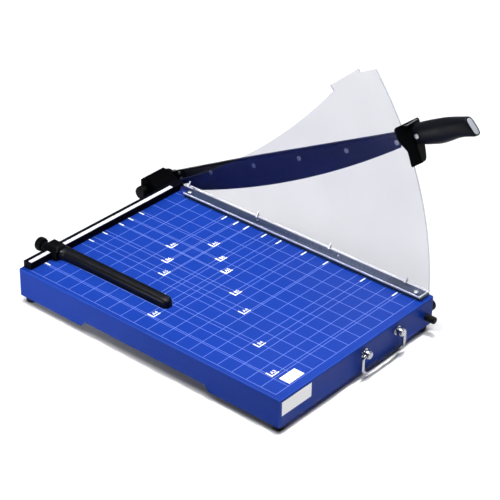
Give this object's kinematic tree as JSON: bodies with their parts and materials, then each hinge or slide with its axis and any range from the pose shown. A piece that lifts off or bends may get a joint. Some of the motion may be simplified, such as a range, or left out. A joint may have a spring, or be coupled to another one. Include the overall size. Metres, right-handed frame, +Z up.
{
  "type": "guillotine paper cutter",
  "caption": "Desk lever cutter with printed steel board, paper ruler and sliding stop, spring-lifted press bar under a clear guard, and a long curved blade arm with hand guard and grip.",
  "frame": {"origin": "on the desk, under the middle of the overall box, arm raised as in the picture", "axes": "+Z up, +X towards the blade side, -Y towards the operator"},
  "size_m": [0.3564, 0.5666, 0.363],
  "materials": {
    "blue_enamel": "satin blue stoving enamel on folded sheet",
    "black_steel": "black oxide steel, satin",
    "black_casting": "black paint over a casting",
    "black_bar": "black anodised bar",
    "black_plastic": "moulded, fine texture",
    "grip_plastic": "moulded, soft sheen",
    "grey_plastic": "moulded",
    "rubber": "moulded rubber",
    "clear_plate": "clear acrylic, slightly hazy, polished edges",
    "white_strip": "white printed scale",
    "blade_steel": "dark tempered tool steel, ground edge",
    "bright_steel": "zinc plated",
    "chrome": "polished"
  },
  "bodies": {
    "base": {"base_shell": "blue_enamel", "front_stiffener": "blue_enamel", "rear_stiffener": "blue_enamel", "front_spring_cup": "blue_enamel", "rear_spring_cup": "blue_enamel", "front_left_foot": "rubber", "front_right_foot": "rubber", "rear_left_foot": "rubber", "rear_right_foot": "rubber", "front_buffer": "rubber", "side_buffer": "rubber", "front_left_foot_screw": "bright_steel", "front_right_foot_screw": "bright_steel", "rear_left_foot_screw": "bright_steel", "rear_right_foot_screw": "bright_steel", "ruler_bar": "black_bar", "scale_strip": "white_strip", "ruler_screw_1": "bright_steel", "ruler_screw_2": "bright_steel", "bed_rail": "black_steel", "bed_knife": "blade_steel", "knife_screw_1": "bright_steel", "knife_screw_2": "bright_steel", "knife_screw_3": "bright_steel", "knife_screw_4": "bright_steel", "pivot_housing": "black_casting", "housing_bolt_1": "bright_steel", "housing_bolt_2": "bright_steel", "pivot_shaft": "bright_steel", "shaft_cap": "black_plastic", "thrust_washer": "bright_steel", "disc_spring": "bright_steel", "pivot_nut": "bright_steel", "bail_post_left": "chrome", "bail_post_right": "chrome", "front_press_spring": "bright_steel", "rear_press_spring": "bright_steel"},
    "press": {"press_bar": "black_steel", "guard": "clear_plate", "guard_screw_1": "bright_steel", "guard_screw_2": "bright_steel", "front_guide_post": "bright_steel", "rear_guide_post": "bright_steel"},
    "blade_arm": {"arm_bar": "black_steel", "blade": "blade_steel", "blade_screw_1": "bright_steel", "blade_screw_2": "bright_steel", "blade_screw_3": "bright_steel", "blade_screw_4": "bright_steel", "blade_screw_5": "bright_steel", "root_screw_1": "bright_steel", "root_screw_2": "bright_steel", "hand_guard": "black_plastic", "grip": "grip_plastic", "grip_end_cap": "grey_plastic", "grip_rivet": "bright_steel"},
    "paper_stop": {"stop_block": "black_plastic", "stop_bar": "black_bar"},
    "clamp_knob": {"stop_knob": "black_plastic"},
    "bail": {"carry_bail": "chrome"}
  },
  "joints": [
    {"name": "arm_hinge", "type": "hinge", "parent": "base", "child": "blade_arm", "pos_m": [0.15475, 0.2683, 0.051], "axis": [-1, 0, 0], "range_deg": [-25.2, 18.3]},
    {"name": "press_slide", "type": "slide", "parent": "base", "child": "press", "axis": [0, 0, 1], "range_m": [-0.002, 0], "stiffness_N_per_m": 3000, "springref_m": 0.004, "deforming": ["front_press_spring", "rear_press_spring"]},
    {"name": "stop_slide", "type": "slide", "parent": "base", "child": "paper_stop", "axis": [1, 0, 0], "range_m": [-0.038, 0.195]},
    {"name": "knob_turn", "type": "hinge", "parent": "paper_stop", "child": "clamp_knob", "pos_m": [-0.11625, 0.2563, 0.05925], "axis": [0, -1, 0], "range_deg": [0, 270]},
    {"name": "bail_hinge", "type": "hinge", "parent": "base", "child": "bail", "pos_m": [0.03375, -0.2432, 0.039], "axis": [-1, 0, 0], "range_deg": [-6, 95]}
  ]
}
